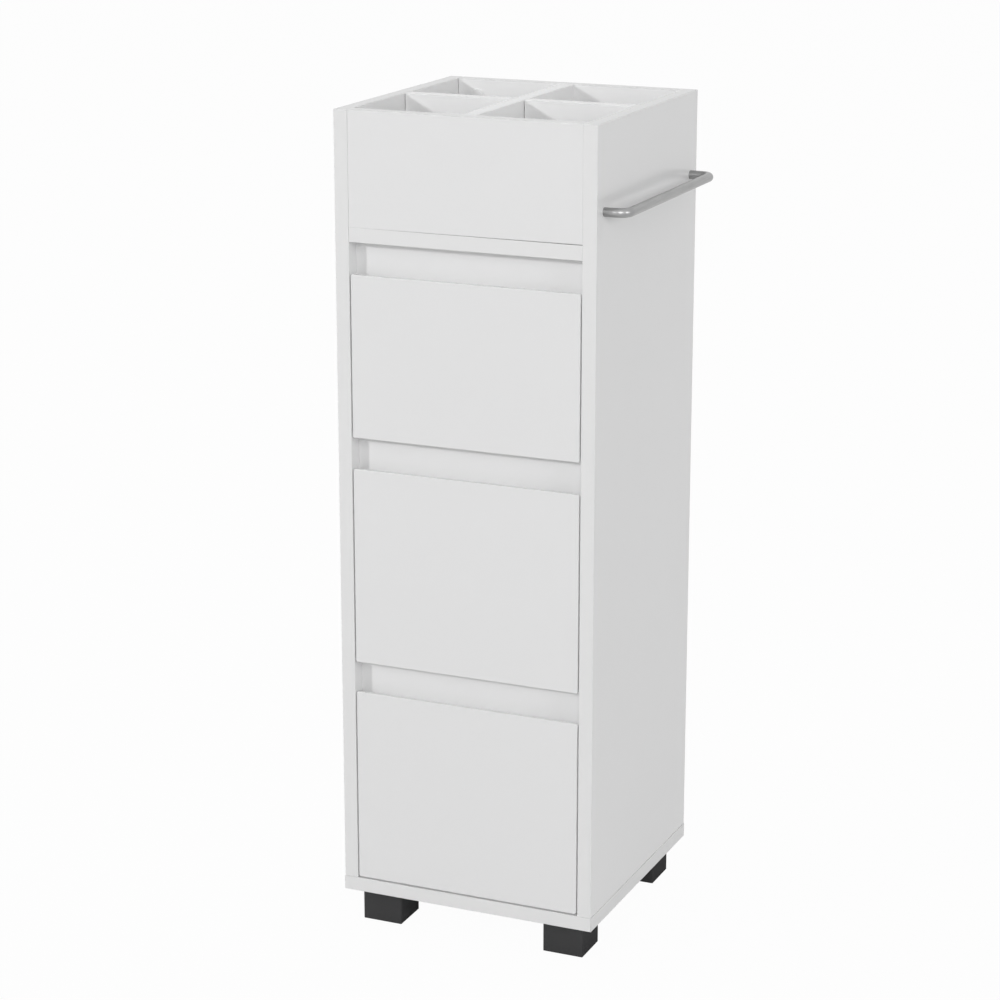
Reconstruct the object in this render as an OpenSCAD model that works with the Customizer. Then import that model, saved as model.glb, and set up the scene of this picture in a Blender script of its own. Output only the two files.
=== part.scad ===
// Bathroom storage tower: an open tray in four compartments over three inset drawers, standing on
// four block feet, with a towel rail on the right side panel. Millimetres, +Z up, front towards -Y.
// The origin lies on the floor under the centre of the whole footprint, towel rail included.

/* [Tower] */
// Width over the two side panels
tower_w = 300; // [260:1:420]
// Depth from the front edges to the rear edges
tower_d = 300; // [250:1:420]
// Thickness of the carcass boards and the drawer fronts
board_t = 16; // [13:0.5:20]
// Thickness of the hardboard in the back and the drawer bottoms
sheet_t = 3; // [2:0.5:5]

/* [Tray] */
// Height of the tray's front, back and dividers above its shelf
tray_h = 125; // [90:1:180]
// Thickness of the two crossing dividers
divider_t = 16; // [12:0.5:20]

/* [Drawer fronts] */
// Height of the top drawer's front
top_front_h = 180; // [130:1:260]
// Height of the middle and lower drawers' fronts
front_h = 222; // [150:1:300]
// Height of the finger gap above each front
finger_gap = 35; // [24:1:50]
// Gap on each side of a front
side_gap = 1.5; // [1:0.1:3]
// Gap under the lowest front
base_gap = 2; // [1.5:0.5:6]
// Radius of a front's corners, seen from in front
front_corner_r = 2; // [0.5:0.5:4]
// Thickness left at a front's top edge, in front of the bevel that fingers pull on
lip_t = 5; // [3:0.5:8]

/* [Grip rails] */
// Gap between a closed drawer front and the rail behind it
rail_gap = 1.5; // [1:0.5:4]
// How far a rail reaches behind the front below it and the front above it
rail_lap = 12; // [8:1:18]

/* [Drawer boxes] */
// Thickness of a drawer box's sides and back
box_t = 12; // [10:0.5:15]
// Space left behind a closed drawer box, up to the tower's rear edges
behind_box = 34; // [28:1:80]
// Clear height between a drawer box and the grip rails above and below it
box_clear = 5; // [4.5:0.5:8]
// Height of the bottom's groove above a box side's lower edge
bottom_up = 10; // [8:1:16]

/* [Runners] */
// Space for a pair of runner members between a side panel and a drawer box
runner_space = 12.5; // [12.5:0.1:14]
// Thickness of the runners' steel
steel_t = 1.2; // [1:0.1:1.5]
// Inside radius of a fold in the steel
fold_r = 0.6; // [0.4:0.1:1]
// Diameter of a roller
roller_d = 16; // [12:0.5:18]
// Width of a roller
roller_w = 6.5; // [5:0.1:7]
// Diameter of a roller's pin
pin_d = 5; // [4:0.5:6]
// Length of a drawer box that stays in the tower when the drawer is fully open
kept_in = 60; // [60:1:120]

/* [Feet] */
// Width of a square foot
foot_w = 48; // [36:1:60]
// Height of a foot
foot_h = 40; // [25:1:60]
// Thickness of a foot's walls
foot_wall = 2.5; // [2:0.5:4]
// Distance of a foot from the base panel's edges
foot_in = 15; // [13:0.5:24]
// Radius of a foot's upright edges
foot_r = 2.5; // [1:0.5:6]

/* [Towel rail] */
// Diameter of the bar
bar_d = 10; // [8:0.5:14]
// Distance of the bar's centre line from the side panel
bar_out = 25; // [22:1:60]
// Radius of the bar's bends, at its centre line
bar_bend_r = 11; // [8:0.5:16]
// Height of the tower's rim above the bar
bar_drop = 92; // [40:1:100]

/* [Fittings] */
// Diameter of a cam lock
cam_d = 15; // [12:0.5:15]
// Diameter of a drawer's cam lock
small_cam_d = 12; // [10:0.5:12]
// Distance of a cam lock's centre from the end of its board
cam_back = 24; // [20:1:34]
// Diameter of a cam's white cap
cap_d = 17; // [16:0.5:20]
// Depth of the topmost cam locks below the rim
cam_drop = 19; // [14:1:30]
// Diameter of a wooden dowel
dowel_d = 8; // [6:1:8]
// Length of a wooden dowel
dowel_l = 30; // [25:1:35]

/* [Hidden] */

$fn = 48;
eps = 1; // how far a cutting tool runs past the face it starts from

// Clearances, each used wherever that fit occurs
groove_fit = 0.1; // sheet in its groove, on each face
lap_fit = 0.3;    // halved dividers, on each face
end_fit = 0.3;    // a divider's end to the tray's wall
hole_fit = 0.05;  // dowel, bolt, screw or cam in its hole, on the radius
pin_fit = 0.05;   // roller on its pin, on the radius
roll_fit = 0.3;   // roller to the track it runs on
play = 0.2;       // roller to the shoulders beside it
hole_end = 0.5;   // how much deeper a blind hole is than what goes into it
groove_end = 0.5; // how much deeper a groove is than the sheet's edge in it

// Where the carcass stands
bar_reach = bar_out + bar_d / 2;
left = -(tower_w + bar_reach) / 2;
right = left + tower_w;
mid_x = (left + right) / 2;
inner_l = left + board_t;
inner_r = right - board_t;
inner_w = inner_r - inner_l;
front = -tower_d / 2;
rear = tower_d / 2;

// Heights from the floor up. Levels 0, 1 and 2 are the lower, middle and top drawers
floor_z = foot_h + board_t;
function front_height(k) = k < 2 ? front_h : top_front_h;
function front_z(k) = floor_z + base_gap + k * (front_h + finger_gap);
function front_top(k) = front_z(k) + front_height(k);
shelf_z = front_top(2) + finger_gap;
tray_z = shelf_z + board_t;
top_z = tray_z + tray_h;

// Drawer boxes
front_w = inner_w - 2 * side_gap;
front_back = front + board_t;
box_rear = rear - behind_box;
box_d = box_rear - front_back;
travel = box_d - kept_in;
box_l = inner_l + runner_space;
box_r = inner_r - runner_space;
function box_z(k) = front_z(k) + rail_lap + box_clear;
box_low = 1; // a box's upper edge stays this much further from the rail above it
function box_h(k) = front_top(k) - rail_lap - box_clear - box_low - box_z(k);
groove_d = 5;
groove_w = sheet_t + 2 * groove_fit;

// Grip rails
rail_y = front_back + rail_gap;
function rail_bottom(k) = front_top(k) - rail_lap;
function rail_top(k) = k < 2 ? front_z(k + 1) + rail_lap : shelf_z;

// Back panel, in grooves near the rear edges
back_in = 8;
back_y = rear - back_in - groove_w;

// Runners, measured from the side panel's inner face. The drawer's roller rides in the channel
// and the drawer's outer flange rides on the cabinet's roller
runner_back = 2;    // from the closed fronts to the channels' front ends
runner_y = front_back + runner_back;
runner_l = box_d;
roller_r = roller_d / 2;
channel_h = roller_d + 2 * roll_fit;
channel_clear = 1;  // channel's open edge to the drawer's steel
channel_w = runner_space - steel_t - channel_clear;
track_down = 3;     // from a box's lower edge to the track its rollers run on
function track_z(k) = box_z(k) - track_down;
flange_up = channel_h - roll_fit - steel_t;
roller_back = 12;   // from a channel's front end to its roller's axis
rollers_apart = 1;  // between the two rollers of a side when its drawer is fully open
front_roller_y = runner_y + roller_back;
rear_roller_y = front_roller_y + travel + roller_d + rollers_apart;
front_roller_up = flange_up - roll_fit - roller_r;
rear_roller_up = roll_fit + roller_r;
roller_x = steel_t + 1.1;
tread_screw_up = flange_up - 5.1;
runner_screw_l = 12;
screw_back = 45;    // from a channel's front end to its first screw
screw_ahead = 6;    // from the second screw to the roller of a closed drawer
runner_screw_y = [runner_y + screw_back, rear_roller_y - roller_r - screw_ahead];
function runner_screw_z(k) = track_z(k) + channel_h / 2;
slot_w = 4.4;       // spare fixing slots between a runner's screws
slot_l = 9;
slots = 3;
slot_step = (runner_screw_y[1] - runner_screw_y[0]) / (slots + 1);
slot_y = [for (n = [1:slots]) runner_screw_y[0] + n * slot_step];

// Towel rail: its legs stand just clear of the tray's front and back, where the screws go in
bar_z = top_z - bar_drop;
bar_leg_clear = 4;
bar_leg_in = board_t + bar_leg_clear;
bar_screw_d = 4;
bar_screw_in = 10; // how far a screw goes into its leg
bar_head_d = 7.5;
bar_head_h = 2.4;

// Joints between a board and a side panel: [end, y, z, tilt]. end is -1 at the left panel and 1 at
// the right. tilt turns the cam's face to the front (90), the rear (-90) or down (180)
front_mid_y = front + board_t / 2;
rear_mid_y = rear - board_t / 2;
shelf_mid_z = shelf_z + board_t / 2;
rail_mid_y = rail_y + board_t / 2;
cam_low = 25; // height of the tray's lower cams above its shelf
rail_cam_up = 10; // a rail's cams above its middle, its dowels below them
rail_dowel_down = 20;
function rail_cam_z(k) = (rail_bottom(k) + rail_top(k)) / 2 + rail_cam_up;
tray_back_cams = [for (e = [-1, 1], z = [tray_z + cam_low, top_z - cam_drop]) [e, rear_mid_y, z, 90]];
tray_front_cams = [for (e = [-1, 1], z = [tray_z + cam_low, top_z - cam_drop]) [e, front_mid_y, z, -90]];
shelf_cams = [for (e = [-1, 1], y = [front + tower_d / 4, rear - tower_d / 4]) [e, y, shelf_mid_z, 180]];
function rail_cams(k) = [for (e = [-1, 1]) [e, rail_mid_y, rail_cam_z(k), -90]];
all_cams = concat(tray_back_cams, tray_front_cams, shelf_cams, rail_cams(0), rail_cams(1), rail_cams(2));

// Dowels beside the cams: [end, y, z]
tray_mid_z = tray_z + tray_h / 2;
tray_back_dowels = [for (e = [-1, 1]) [e, rear_mid_y, tray_mid_z]];
tray_front_dowels = [for (e = [-1, 1]) [e, front_mid_y, tray_mid_z]];
shelf_dowels = [for (e = [-1, 1]) [e, 0, shelf_mid_z]];
function rail_dowels(k) = [for (e = [-1, 1]) [e, rail_mid_y, rail_cam_z(k) - rail_dowel_down]];
divider_dowel_zs = [tray_mid_z - tray_h / 4, tray_mid_z + tray_h / 4];
divider_ends = [for (e = [-1, 1], z = divider_dowel_zs) [e, 0, z]];
wall_dowels = concat(
    tray_back_dowels, tray_front_dowels, shelf_dowels, divider_ends,
    rail_dowels(0), rail_dowels(1), rail_dowels(2)
);
dowel_in = 10; // how far a dowel goes into the panel it meets

// Base panel to side panels: screws from below, with a dowel at mid depth
base_screw_y = [front + tower_d / 5, rear - tower_d / 5];
screw_reach = 34;
long_screw_d = 5;
short_screw_d = 3.5;

// Feet, each held by a screw whose head sits up in a boss
foot_screw_d = 5;
foot_screw_end = 3; // wood left over the end of a foot's screw
foot_head_d = 10;
foot_head_h = 2.5;
foot_sink = 14;     // from the floor up to the seat of the screw's head
foot_sink_d = foot_head_d + 4;
foot_floor_t = 4;   // thickness of a foot's underside
foot_rib_t = 2;
foot_rib_drop = 3;  // the ribs end this far below the walls and the boss
foot_ease = 1;      // bevel along the lower edges

// Drawer box joints
drawer_cam_back = 20;
box_cam_up = 25;   // a front's lower bolts above the bottom's groove
box_cam_drop = 22; // and its upper ones below the box's upper edge
back_screw_l = 30;
back_screw_ups = [35, 75];
tread_screw_l = 10;

// ---- Shared shapes ----

// A board between two opposite corners
module slab(from, to) {
    translate(from) cube(to - from);
}

// A rod along +X, +Y or +Z from the origin
module rod_x(d, l) { rotate([0, 90, 0]) cylinder(d = d, h = l); }
module rod_y(d, l) { rotate([-90, 0, 0]) cylinder(d = d, h = l); }
module rod_z(d, l) { cylinder(d = d, h = l); }

// A section drawn as [x, z], run from y = 0 to y = length
module run_y(length) {
    translate([0, length, 0]) rotate([90, 0, 0]) linear_extrude(height = length) children();
}

// A rectangle with round corners, one corner at the origin
module round_rectangle(w, h, r) {
    translate([r, 0]) square([w - 2 * r, h]);
    translate([0, r]) square([w, h - 2 * r]);
    for (x = [r, w - r], y = [r, h - r]) translate([x, y]) circle(r = r);
}

// What is drawn for the left side, as it is (-1) or mirrored to the right (1)
module on_side(side) {
    if (side < 0) children();
    else translate([2 * mid_x, 0, 0]) mirror([1, 0, 0]) children();
}

module both_sides() {
    on_side(-1) children();
    on_side(1) children();
}

// A wall joint's own frame: the origin on the side panel's inner face, +X into the board that is
// held, +Z out of the face that the cam is turned from
module at_wall(joint) {
    translate([joint[0] < 0 ? inner_l : inner_r, joint[1], joint[2]])
        mirror([joint[0] < 0 ? 0 : 1, 0, 0])
            rotate([len(joint) > 3 ? joint[3] : 0, 0, 0]) children();
}

// ---- Cam fittings, drawn for a board of thickness t with the bolt on its middle line ----

bolt_d = 6;
bolt_in = 11;
bolt_neck_d = 4;
bolt_head_d = 6.4;
cam_sink = 0.2;
function cam_deep(t) = 0.78 * t;

// What is cut from the board that carries the cam
module cam_bore(d, back, t) {
    translate([back, 0, t / 2 - cam_deep(t)]) rod_z(d, cam_deep(t) + eps);
    translate([-eps, 0, 0]) rod_x(bolt_d + 2, back + eps);
}

// What is cut from the panel that carries the bolt
module bolt_bore() {
    translate([-bolt_in - hole_end, 0, 0]) rod_x(bolt_d + 2 * hole_fit, bolt_in + hole_end + eps);
}

module cam_bolt(d, back) {
    neck_from = back - d / 2 - 0.5;
    head_from = back - 2.5;
    translate([-bolt_in, 0, 0]) rod_x(bolt_d, bolt_in + neck_from);
    rod_x(bolt_d + 2 - 2 * hole_fit, 1.5);
    translate([neck_from - eps, 0, 0]) rod_x(bolt_neck_d, head_from - neck_from + 2 * eps);
    translate([head_from, 0, 0]) rod_x(bolt_head_d, 2.5);
}

module cam_lock(d, back, t) {
    deep = cam_deep(t);
    slot = bolt_neck_d + 0.6;
    pocket = bolt_head_d + 0.6;
    difference() {
        translate([back, 0, t / 2 - deep + cam_sink])
            rod_z(d - 2 * hole_fit, deep - 2 * cam_sink);
        translate([back - d, -slot / 2, -slot / 2]) cube([d, slot, slot]);
        translate([back - 3, -pocket / 2, -pocket / 2]) cube([3.6, pocket, pocket]);
        for (turn = [0, 90])
            translate([back, 0, t / 2 - cam_sink - 1.2]) rotate([0, 0, turn])
                translate([-d / 4, -0.6, 0]) cube([d / 2, 1.2, 1.2 + eps]);
    }
}

// ---- Screws and dowels ----

// A countersunk wood screw from the origin along +Z, its flat head at z = 0 and facing -Z
module wood_screw(d, length, head_d) {
    sink = (head_d - d) / 2;
    cylinder(d1 = head_d, d2 = d, h = sink);
    translate([0, 0, sink]) rod_z(d, length - sink - d);
    translate([0, 0, length - d]) cylinder(d1 = d, d2 = d / 4, h = d);
}

// A flat round head with a cross recess in its lower face
module pan_head(d, h) {
    difference() {
        rod_z(d, h);
        for (turn = [0, 90]) rotate([0, 0, turn]) translate([-2.5, -0.5, -eps]) cube([5, 1, 1.2 + eps]);
    }
}

// The hole for a wood screw, in the same frame
module wood_screw_hole(d, length, head_d) {
    sink = (head_d - d) / 2;
    translate([0, 0, -eps]) rod_z(head_d, eps);
    cylinder(d1 = head_d, d2 = d, h = sink);
    translate([0, 0, sink - 0.01]) rod_z(d + 2 * hole_fit, length - sink + 0.01 + hole_end);
}

module wall_dowel_bores(list) {
    for (joint = list) at_wall(joint)
        translate([-eps, 0, 0]) rod_x(dowel_d + 2 * hole_fit, dowel_l - dowel_in + hole_end + eps);
}

// ---- Carcass boards ----

// One side panel: it stands on the base panel. side is -1 for the left and 1 for the right
module side_panel(side) {
    outer = side < 0 ? left : right;
    inner = side < 0 ? inner_l : inner_r;
    low = min(outer, inner);
    color("white") difference() {
        slab([low, front, floor_z], [low + board_t, rear, top_z]);
        // groove for the back panel
        slab(
            [inner - groove_d, back_y, floor_z - eps],
            [inner + groove_d, back_y + groove_w, shelf_z + groove_d]
        );
        for (joint = all_cams) if (joint[0] == side) at_wall(joint) bolt_bore();
        for (joint = wall_dowels) if (joint[0] == side) at_wall(joint)
            translate([-dowel_in - hole_end, 0, 0])
                rod_x(dowel_d + 2 * hole_fit, dowel_in + hole_end + eps);
        // screws and dowel up through the base panel
        for (y = base_screw_y) translate([outer - side * board_t / 2, y, floor_z - eps])
            rod_z(long_screw_d + 2 * hole_fit, screw_reach - board_t + hole_end + eps);
        translate([outer - side * board_t / 2, 0, floor_z - eps])
            rod_z(dowel_d + 2 * hole_fit, dowel_l - dowel_in + hole_end + eps);
        // pilot holes for the runners
        for (k = [0, 1, 2], y = runner_screw_y)
            translate([inner, y, runner_screw_z(k)]) mirror([side > 0 ? 0 : 1, 0, 0])
                translate([-eps, 0, 0])
                    rod_x(short_screw_d + 2 * hole_fit, runner_screw_l + hole_end + eps);
        // clearance holes for the towel rail's screws
        if (side > 0) at_rail_legs() translate([-board_t - eps, 0, 0])
            rod_x(bar_screw_d + 0.5, board_t + 2 * eps);
    }
}

module base_panel() {
    color("white") difference() {
        slab([left, front, foot_h], [right, rear, floor_z]);
        slab(
            [inner_l - groove_d, back_y, floor_z - groove_d],
            [inner_r + groove_d, back_y + groove_w, floor_z + eps]
        );
        for (x = [left + board_t / 2, right - board_t / 2]) {
            for (y = base_screw_y) translate([x, y, foot_h])
                wood_screw_hole(long_screw_d, board_t + eps, 2 * long_screw_d);
            translate([x, 0, floor_z - dowel_in - hole_end])
                rod_z(dowel_d + 2 * hole_fit, dowel_in + hole_end + eps);
        }
        for (c = foot_centres) translate([c[0], c[1], foot_h - eps])
            rod_z(foot_screw_d + 2 * hole_fit, board_t - foot_screw_end + hole_end + eps);
    }
}

module tray_shelf() {
    color("white") difference() {
        slab([inner_l, front, shelf_z], [inner_r, rear, tray_z]);
        slab([inner_l - eps, back_y, shelf_z - eps], [inner_r + eps, back_y + groove_w, shelf_z + groove_d]);
        for (joint = shelf_cams) at_wall(joint) cam_bore(cam_d, cam_back, board_t);
        wall_dowel_bores(shelf_dowels);
    }
}

// Holes for the dowels in the front-to-back divider's ends; from the tray board's inner face at y,
// going along dir
module divider_dowel_bores(y, dir) {
    for (z = divider_dowel_zs)
        translate([mid_x, y, z]) mirror([0, dir < 0 ? 1 : 0, 0]) translate([0, -eps, 0])
            rod_y(dowel_d + 2 * hole_fit, dowel_in + hole_end + eps);
}

module tray_front() {
    color("white") difference() {
        slab([inner_l, front, tray_z], [inner_r, front_back, top_z]);
        for (joint = tray_front_cams) at_wall(joint) cam_bore(cam_d, cam_back, board_t);
        wall_dowel_bores(tray_front_dowels);
        divider_dowel_bores(front_back, -1);
    }
}

module tray_back() {
    color("white") difference() {
        slab([inner_l, rear - board_t, tray_z], [inner_r, rear, top_z]);
        for (joint = tray_back_cams) at_wall(joint) cam_bore(cam_d, cam_back, board_t);
        wall_dowel_bores(tray_back_dowels);
        divider_dowel_bores(rear - board_t, 1);
    }
}

// The across divider is slotted from its top edge, the front-to-back one from its lower edge
module divider_across() {
    half = divider_t / 2;
    color("white") difference() {
        slab([inner_l + end_fit, -half, tray_z], [inner_r - end_fit, half, top_z]);
        slab(
            [mid_x - half - lap_fit, -half - eps, tray_mid_z - lap_fit],
            [mid_x + half + lap_fit, half + eps, top_z + eps]
        );
        wall_dowel_bores(divider_ends);
    }
}

module divider_front_to_back() {
    half = divider_t / 2;
    color("white") difference() {
        slab(
            [mid_x - half, front_back + end_fit, tray_z],
            [mid_x + half, rear - board_t - end_fit, top_z]
        );
        slab(
            [mid_x - half - eps, -half - lap_fit, tray_z - eps],
            [mid_x + half + eps, half + lap_fit, tray_mid_z]
        );
        for (end = [-1, 1], z = divider_dowel_zs)
            translate([mid_x, end * (rear - board_t), z]) mirror([0, end > 0 ? 1 : 0, 0])
                translate([0, -eps, 0])
                    rod_y(dowel_d + 2 * hole_fit, dowel_l - dowel_in + hole_end + eps);
    }
}

module back_panel() {
    reach = groove_d - groove_end;
    color("gainsboro")
        slab(
            [inner_l - reach, back_y + groove_fit, floor_z - reach],
            [inner_r + reach, back_y + groove_fit + sheet_t, shelf_z + reach]
        );
}

// The recessed board behind a finger gap
module grip_rail(k) {
    color("white") difference() {
        slab([inner_l, rail_y, rail_bottom(k)], [inner_r, rail_y + board_t, rail_top(k)]);
        for (joint = rail_cams(k)) at_wall(joint) cam_bore(cam_d, cam_back, board_t);
        wall_dowel_bores(rail_dowels(k));
    }
}
module grip_rail_top() { grip_rail(2); }
module grip_rail_middle() { grip_rail(1); }
module grip_rail_lower() { grip_rail(0); }

// ---- Feet ----

foot_off = foot_in + foot_w / 2;
foot_centres = [
    [left + foot_off, front + foot_off], [right - foot_off, front + foot_off],
    [left + foot_off, rear - foot_off], [right - foot_off, rear - foot_off]
];

// What lies between the bevels of two opposite lower edges, seen along them
module between_bevels() {
    half = foot_w / 2;
    polygon([
        [-half + foot_ease + eps, -eps], [half - foot_ease - eps, -eps],
        [half + eps, foot_ease + eps], [half + eps, foot_h + eps],
        [-half - eps, foot_h + eps], [-half - eps, foot_ease + eps]
    ]);
}

// A moulded shell, open towards the base panel. Ribs tie its walls to the boss that carries the
// screw, whose head sits up in a sunk hole
module foot(c) {
    half = foot_w / 2;
    inside = foot_w - 2 * foot_wall;
    rib = inside + foot_wall; // from mid wall to mid wall
    color([0.13, 0.13, 0.13]) translate([c[0], c[1], 0]) difference() {
        union() {
            difference() {
                intersection() {
                    translate([-half, -half, 0]) linear_extrude(height = foot_h)
                        round_rectangle(foot_w, foot_w, foot_r);
                    translate([0, -half - eps, 0]) run_y(foot_w + 2 * eps) between_bevels();
                    rotate([0, 0, 90]) translate([0, -half - eps, 0])
                        run_y(foot_w + 2 * eps) between_bevels();
                }
                translate([-inside / 2, -inside / 2, foot_floor_t])
                    linear_extrude(height = foot_h - foot_floor_t + eps)
                        round_rectangle(inside, inside, max(foot_r - foot_wall, 0.5));
            }
            translate([0, 0, foot_floor_t / 2])
                rod_z(foot_sink_d + 2 * foot_wall, foot_h - foot_floor_t / 2);
            for (turn = [0, 90]) rotate([0, 0, turn])
                translate([-rib / 2, -foot_rib_t / 2, foot_floor_t / 2])
                    cube([rib, foot_rib_t, foot_h - foot_rib_drop - foot_floor_t / 2]);
        }
        translate([0, 0, -eps]) rod_z(foot_sink_d, foot_sink + eps);
        rod_z(foot_screw_d + 2 * hole_fit, foot_h + eps);
    }
}
module foot_front_left() { foot(foot_centres[0]); }
module foot_front_right() { foot(foot_centres[1]); }
module foot_rear_left() { foot(foot_centres[2]); }
module foot_rear_right() { foot(foot_centres[3]); }

// ---- Towel rail ----

// Puts what it is given at the foot of each leg, on the right panel's outer face, +X outwards
module at_rail_legs() {
    for (y = [front + bar_leg_in, rear - bar_leg_in]) translate([right, y, bar_z]) children();
}

// A round bar with two square bends; each end is tapped for a screw through the side panel
module towel_rail() {
    leg_l = bar_out - bar_bend_r;
    bar_from = front + bar_leg_in + bar_bend_r;
    color("silver") difference() {
        union() {
            at_rail_legs() rod_x(bar_d, leg_l);
            translate([right + bar_out, bar_from, bar_z]) rod_y(bar_d, -2 * bar_from);
            for (end = [0, 1]) mirror([0, end, 0])
                translate([right + leg_l, bar_from, bar_z]) rotate([0, 0, -90])
                    rotate_extrude(angle = 90) translate([bar_bend_r, 0]) circle(d = bar_d);
        }
        at_rail_legs() translate([-eps, 0, 0])
            rod_x(bar_screw_d + 2 * hole_fit, bar_screw_in + hole_end + eps);
    }
}

module towel_rail_screws() {
    color("silver") at_rail_legs() {
        translate([-board_t - bar_head_h, 0, 0]) rotate([0, 90, 0]) pan_head(bar_head_d, bar_head_h);
        translate([-board_t, 0, 0]) rod_x(bar_screw_d, board_t + bar_screw_in);
    }
}

// ---- Carcass fittings ----

module cam_locks() {
    color("darkgray") for (joint = all_cams) at_wall(joint) cam_lock(cam_d, cam_back, board_t);
}

module cam_bolts() {
    color("darkgray") for (joint = all_cams) at_wall(joint) cam_bolt(cam_d, cam_back);
}

// White caps over the cams that show inside the tray
module cam_caps() {
    color("white") for (joint = concat(tray_back_cams, tray_front_cams)) at_wall(joint)
        translate([cam_back, 0, board_t / 2]) cylinder(d1 = cap_d, d2 = cap_d - 1.6, h = 1.2);
}

module dowels() {
    color("burlywood") {
        for (joint = wall_dowels) at_wall(joint)
            translate([-dowel_in, 0, 0]) rod_x(dowel_d, dowel_l);
        for (end = [-1, 1], z = divider_dowel_zs)
            translate([mid_x, end * (rear - board_t), z]) mirror([0, end > 0 ? 1 : 0, 0])
                translate([0, -dowel_in, 0]) rod_y(dowel_d, dowel_l);
        for (x = [left + board_t / 2, right - board_t / 2])
            translate([x, 0, floor_z - dowel_in]) rod_z(dowel_d, dowel_l);
    }
}

module foot_screws() {
    color("darkgray") for (c = foot_centres) translate([c[0], c[1], 0]) {
        translate([0, 0, foot_sink - foot_head_h]) pan_head(foot_head_d, foot_head_h);
        translate([0, 0, foot_sink]) rod_z(foot_screw_d, floor_z - foot_screw_end - foot_sink);
    }
}

module base_screws() {
    color("darkgray") for (x = [left + board_t / 2, right - board_t / 2], y = base_screw_y)
        translate([x, y, foot_h]) wood_screw(long_screw_d, screw_reach, 2 * long_screw_d);
}

// ---- Runners ----

// A quarter of a fold: its centre, and which way its corner points in x and z
module fold(centre, x_side, z_side) {
    outside = fold_r + steel_t;
    translate(centre) intersection() {
        difference() {
            circle(r = outside);
            circle(r = fold_r);
        }
        translate([x_side < 0 ? -outside : 0, z_side < 0 ? -outside : 0]) square(outside);
    }
}

// The cabinet member's section: a channel open towards the drawer
module channel_section() {
    r = fold_r + steel_t;
    translate([0, r - steel_t]) square([steel_t, channel_h - 2 * fold_r]);
    translate([r, -steel_t]) square([channel_w - r, steel_t]);
    translate([r, channel_h]) square([channel_w - r, steel_t]);
    fold([r, r - steel_t], -1, -1);
    fold([r, channel_h - fold_r], -1, 1);
}

// The drawer member's section: under the box side, up beside it, and out over the cabinet's roller
module tread_section() {
    r = fold_r + steel_t;
    under = track_down - steel_t;
    face = runner_space - steel_t;
    translate([face + r, under]) square([box_t - fold_r, steel_t]);
    fold([face + r, under + r], -1, -1);
    translate([face, under + r]) square([steel_t, flange_up - fold_r - under - r]);
    fold([face - fold_r, flange_up - fold_r], 1, 1);
    translate([roller_x + 0.3, flange_up]) square([face - fold_r - roller_x - 0.3, steel_t]);
}

// A shouldered pin along +X that carries a roller between its shoulder and its head
module roller_pin(shoulder_l) {
    rod_x(pin_d + 3, shoulder_l);
    head_from = shoulder_l + roller_w + 2 * play;
    rod_x(pin_d, head_from + 0.2);
    translate([head_from, 0, 0]) rod_x(pin_d + 2.2, 0.5);
}

// A nylon roller, its rim stepped down at both faces
module roller() {
    step = 0.5;
    difference() {
        union() {
            translate([step, 0, 0]) rod_x(roller_d, roller_w - 2 * step);
            rod_x(roller_d - 2 * step, roller_w);
        }
        translate([-eps, 0, 0]) rod_x(pin_d + 2 * pin_fit, roller_w + 2 * eps);
    }
}

// A spare fixing slot through the steel, +X through it, its length along Y
module fixing_slot() {
    for (y = [-1, 1] * (slot_l - slot_w) / 2) translate([-eps, y, 0]) rod_x(slot_w, steel_t + 2 * eps);
    translate([-eps, -(slot_l - slot_w) / 2, -slot_w / 2]) cube([steel_t + 2 * eps, slot_l - slot_w, slot_w]);
}

// The channels on both side panels. The lower flange stops short of the roller at the front, and
// a tab turned in from the web stops the roller of a closing drawer
module cabinet_runners(k) {
    color("whitesmoke") both_sides() translate([inner_l, 0, track_z(k)]) {
        difference() {
            translate([0, runner_y, 0]) run_y(runner_l) channel_section();
            translate([steel_t, runner_y - eps, -steel_t - eps])
                cube([channel_w, front_roller_y + roller_r + 1 - runner_y + eps, fold_r + steel_t + eps]);
            for (y = runner_screw_y) translate([steel_t, y, channel_h / 2]) rotate([0, -90, 0])
                wood_screw_hole(short_screw_d, steel_t, short_screw_d + 2 * steel_t);
            for (y = slot_y) translate([0, y, channel_h / 2]) fixing_slot();
        }
        translate([steel_t / 2, rear_roller_y + roller_r + roll_fit, 2 * fold_r])
            cube([channel_w - steel_t / 2, steel_t, channel_h - 4 * fold_r]);
        translate([steel_t, front_roller_y, front_roller_up])
            roller_pin(roller_x - steel_t - play);
    }
}
module cabinet_runners_top() { cabinet_runners(2); }
module cabinet_runners_middle() { cabinet_runners(1); }
module cabinet_runners_lower() { cabinet_runners(0); }

module cabinet_rollers(k) {
    color("ivory") both_sides()
        translate([inner_l + roller_x, front_roller_y, track_z(k) + front_roller_up]) roller();
}
module cabinet_rollers_top() { cabinet_rollers(2); }
module cabinet_rollers_middle() { cabinet_rollers(1); }
module cabinet_rollers_lower() { cabinet_rollers(0); }

module runner_screws() {
    color("darkgray") both_sides() for (k = [0, 1, 2], y = runner_screw_y)
        translate([inner_l + steel_t, y, runner_screw_z(k)]) rotate([0, -90, 0])
            wood_screw(short_screw_d, runner_screw_l + steel_t, short_screw_d + 2 * steel_t);
}

// ---- Drawers ----

// The left box side's joints to the front; the cams' faces are turned to the side panel
module at_box_joints(k) {
    for (up = [bottom_up + box_cam_up, box_h(k) - box_cam_drop])
        translate([box_l + box_t / 2, front_back, box_z(k) + up])
            rotate([0, 0, 90]) rotate([-90, 0, 0]) children();
}

// Each screw through the left box side into the end of the back, +Z along the screw
module at_back_screws(k) {
    for (up = back_screw_ups) translate([box_l, box_rear - box_t / 2, box_z(k) + up])
        rotate([0, 90, 0]) children();
}

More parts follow.
